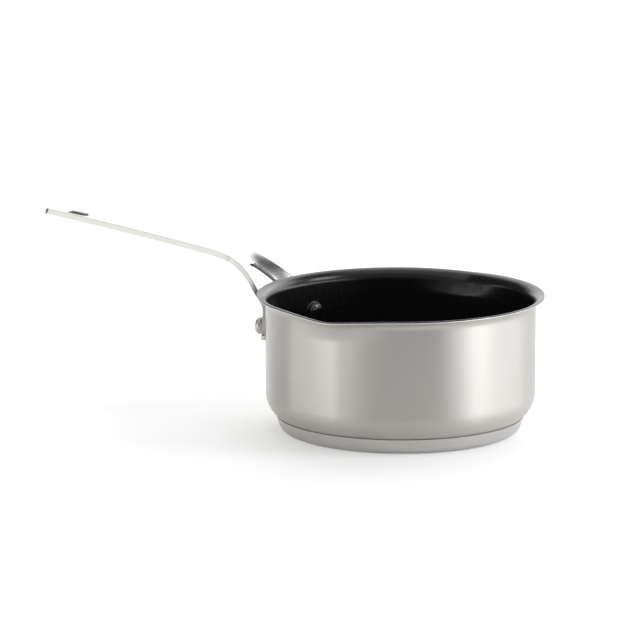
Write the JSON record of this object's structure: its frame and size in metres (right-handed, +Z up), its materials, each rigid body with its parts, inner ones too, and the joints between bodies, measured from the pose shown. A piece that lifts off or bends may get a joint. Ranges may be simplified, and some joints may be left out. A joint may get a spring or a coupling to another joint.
{
  "type": "saucepan",
  "caption": "Small steel saucepan with a black non-stick inside, a pouring lip at each side, a bonded base and a cast forked handle riveted to the wall.",
  "frame": {"origin": "on the pan's axis, at the underside of the base", "axes": "+Z up along the pan's axis, the handle along -X, the pouring spouts along -Y and +Y"},
  "size_m": [0.3325, 0.1818, 0.1144],
  "materials": {
    "satin_steel": "fine satin brushed round the wall",
    "black_coating": "semi-matte non-stick coating",
    "aluminium_core": "plain rolled, hardly seen",
    "cap_steel": "satin, turned",
    "cast_steel": "polished casting",
    "rivet_steel": "bright, pressed"
  },
  "bodies": {
    "root": {"pan_body": "satin_steel", "nonstick_lining": "black_coating", "base_core": "aluminium_core", "base_cap": "cap_steel", "handle": "cast_steel", "rivet_front": "rivet_steel", "rivet_back": "rivet_steel"}
  },
  "joints": []
}
